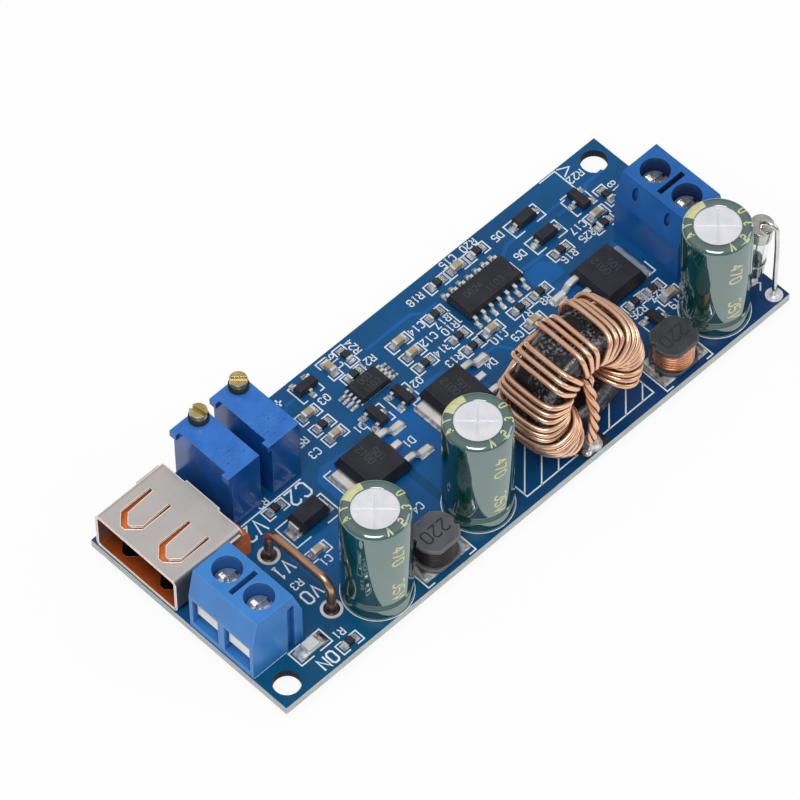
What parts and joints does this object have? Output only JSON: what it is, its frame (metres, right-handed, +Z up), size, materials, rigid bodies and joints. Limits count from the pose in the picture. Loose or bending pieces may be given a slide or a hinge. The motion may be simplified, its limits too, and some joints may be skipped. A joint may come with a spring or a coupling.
{
  "type": "boost converter module",
  "caption": "Long blue circuit board that raises a supply voltage, with a USB socket, screw terminals, trimmers, can capacitors and a wound ring choke.",
  "frame": {"origin": "midway between the two fixing holes, on the board's underside", "axes": "+X along the board from the USB end to the input end, +Y to the back long edge, +Z up from the board"},
  "size_m": [0.08, 0.0316, 0.0191],
  "materials": {
    "board": "blue solder mask with white print",
    "shell_steel": "satin plated sheet",
    "orange_plastic": "moulded orange plastic",
    "contact_brass": "plated contacts",
    "blue_housing": "bright blue moulding",
    "screw_steel": "plated screw",
    "tinned_metal": "bright tin plate",
    "trimmer_blue": "dark blue moulding",
    "adjuster_brass": "turned brass",
    "seal_rubber": "black rubber",
    "can_aluminium": "bright aluminium",
    "green_sleeve": "dark green shrink sleeve",
    "core_black": "black epoxy coat",
    "copper_wire": "enamelled copper",
    "ferrite": "grey ferrite",
    "clear_glass": "clear glass",
    "dark_moulding": "black moulding compound",
    "tan_ceramic": "tan ceramic",
    "pale_lamp": "pale lamp body",
    "solder": "bright solder"
  },
  "bodies": {
    "module": {"circuit_board": "board", "usb_shell": "shell_steel", "usb_insulator": "orange_plastic", "usb_contacts": "contact_brass", "output_terminal_housing": "blue_housing", "output_terminal_cages": "tinned_metal", "input_terminal_housing": "blue_housing", "input_terminal_cages": "tinned_metal", "voltage_trimmer_case": "trimmer_blue", "current_trimmer_case": "trimmer_blue", "trimmer_seals": "seal_rubber", "trimmer_pins": "tinned_metal", "output_capacitor_can": "can_aluminium", "output_capacitor_sleeve": "green_sleeve", "link_capacitor_can": "can_aluminium", "link_capacitor_sleeve": "green_sleeve", "input_capacitor_can": "can_aluminium", "input_capacitor_sleeve": "green_sleeve", "capacitor_leads": "tinned_metal", "toroid_core": "core_black", "toroid_winding": "copper_wire", "output_choke_core": "ferrite", "output_choke_winding": "copper_wire", "input_choke_core": "ferrite", "input_choke_winding": "copper_wire", "choke_terminals": "tinned_metal", "shunt_wire": "copper_wire", "fuse_tube": "clear_glass", "fuse_caps": "tinned_metal", "fuse_element": "tinned_metal", "fuse_leads": "tinned_metal", "output_rectifier_body": "dark_moulding", "output_rectifier_frame": "tinned_metal", "link_rectifier_body": "dark_moulding", "link_rectifier_frame": "tinned_metal", "main_switch_body": "dark_moulding", "main_switch_frame": "tinned_metal", "comparator_body": "dark_moulding", "comparator_leads": "tinned_metal", "controller_body": "dark_moulding", "controller_leads": "tinned_metal", "clamp_diode_body": "dark_moulding", "clamp_diode_ends": "tinned_metal", "transistor_bodies": "dark_moulding", "transistor_leads": "tinned_metal", "signal_diode_bodies": "dark_moulding", "signal_diode_leads": "tinned_metal", "indicator_lamp": "pale_lamp", "chip_resistors": "dark_moulding", "chip_capacitors": "tan_ceramic", "chip_ends": "tinned_metal", "solder_pads": "solder", "solder_fillets": "solder"},
    "output_terminal_clamp_screw_1": {"output_terminal_screw_1": "screw_steel"},
    "output_terminal_clamp_screw_2": {"output_terminal_screw_2": "screw_steel"},
    "input_terminal_clamp_screw_1": {"input_terminal_screw_1": "screw_steel"},
    "input_terminal_clamp_screw_2": {"input_terminal_screw_2": "screw_steel"},
    "voltage_trimmer_adjuster": {"voltage_trimmer_screw": "adjuster_brass"},
    "current_trimmer_adjuster": {"current_trimmer_screw": "adjuster_brass"}
  },
  "joints": [
    {"name": "voltage_adjust", "type": "hinge", "parent": "module", "child": "voltage_trimmer_adjuster", "pos_m": [-0.02455, 0.01405, 0.0112], "axis": [0, 0, 1], "continuous": true},
    {"name": "current_adjust", "type": "hinge", "parent": "module", "child": "current_trimmer_adjuster", "pos_m": [-0.0184, 0.01405, 0.0112], "axis": [0, 0, 1], "continuous": true},
    {"name": "output_clamp_1", "type": "hinge", "parent": "module", "child": "output_terminal_clamp_screw_1", "pos_m": [-0.03625, -0.00794, 0.0092], "axis": [0, 0, 1], "range_deg": [-90, 1080]},
    {"name": "output_clamp_2", "type": "hinge", "parent": "module", "child": "output_terminal_clamp_screw_2", "pos_m": [-0.03625, -0.00286, 0.0092], "axis": [0, 0, 1], "range_deg": [-90, 1080]},
    {"name": "input_clamp_1", "type": "hinge", "parent": "module", "child": "input_terminal_clamp_screw_1", "pos_m": [0.03625, 0.00234, 0.0092], "axis": [0, 0, 1], "range_deg": [-90, 1080]},
    {"name": "input_clamp_2", "type": "hinge", "parent": "module", "child": "input_terminal_clamp_screw_2", "pos_m": [0.03625, -0.00274, 0.0092], "axis": [0, 0, 1], "range_deg": [-90, 1080]}
  ]
}
